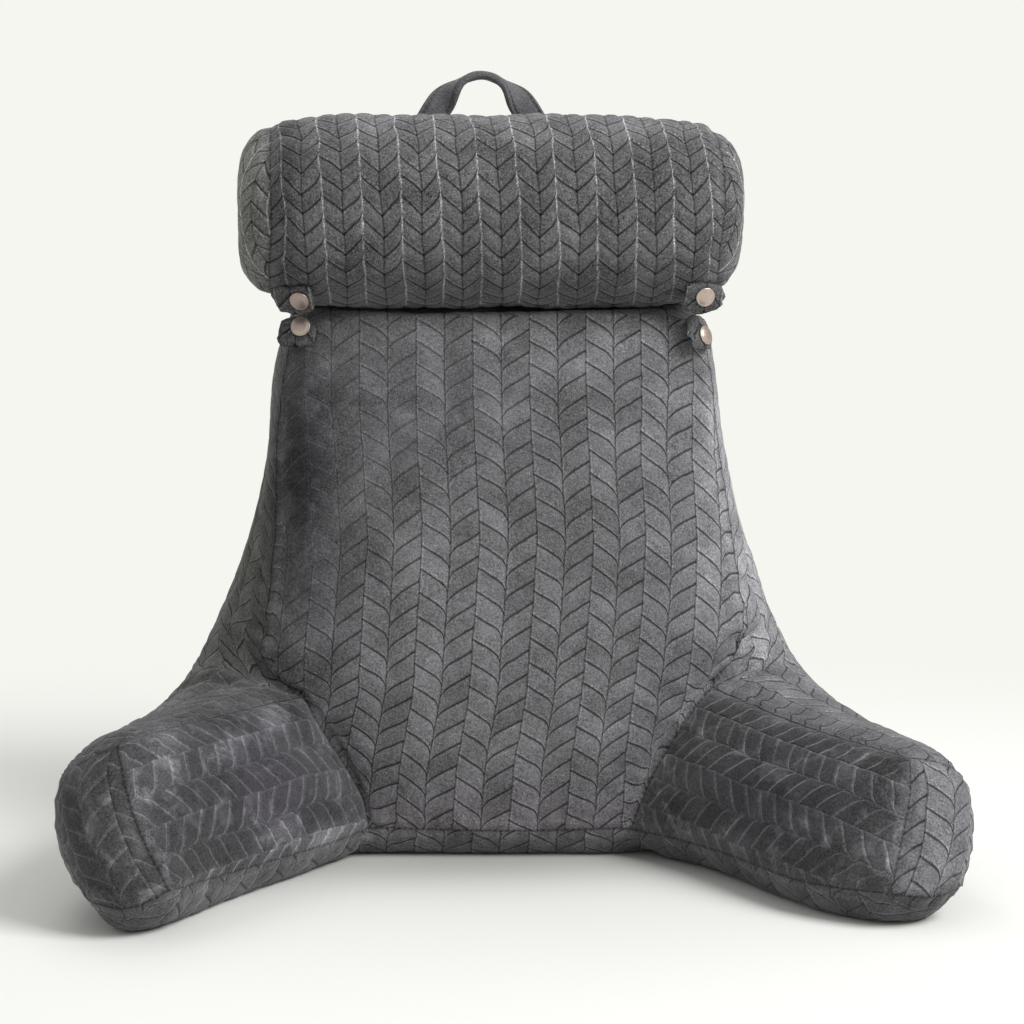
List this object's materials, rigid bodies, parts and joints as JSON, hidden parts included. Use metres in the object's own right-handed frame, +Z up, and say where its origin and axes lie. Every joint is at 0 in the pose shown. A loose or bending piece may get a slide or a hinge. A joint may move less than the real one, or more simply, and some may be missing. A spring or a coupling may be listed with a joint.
{
  "type": "reading pillow with arms",
  "caption": "Plush backrest reading pillow with forward arms, a bolster neck roll held by snap tabs, and a carry handle at the top.",
  "frame": {"origin": "on the floor, under the centre of the pillow's bounding box", "axes": "+Z up, -Y towards whoever faces the pillow's front, +X to the right as seen from the front"},
  "size_m": [0.7256, 0.5012, 0.6899],
  "materials": {
    "embossed_plush": "charcoal plush embossed with staggered leaf-shaped chevrons",
    "strap_plush": "plain charcoal plush strap",
    "snap_metal": "satin rose bronze snap caps"
  },
  "bodies": {
    "root": {"cushion": "embossed_plush", "neck_roll": "embossed_plush", "carry_handle": "strap_plush", "roll_tab_left": "strap_plush", "roll_tab_right": "strap_plush", "body_tab_left": "strap_plush", "body_tab_right": "strap_plush", "roll_snap_left": "snap_metal", "roll_snap_right": "snap_metal", "body_snap_left": "snap_metal", "body_snap_right": "snap_metal"}
  },
  "joints": []
}
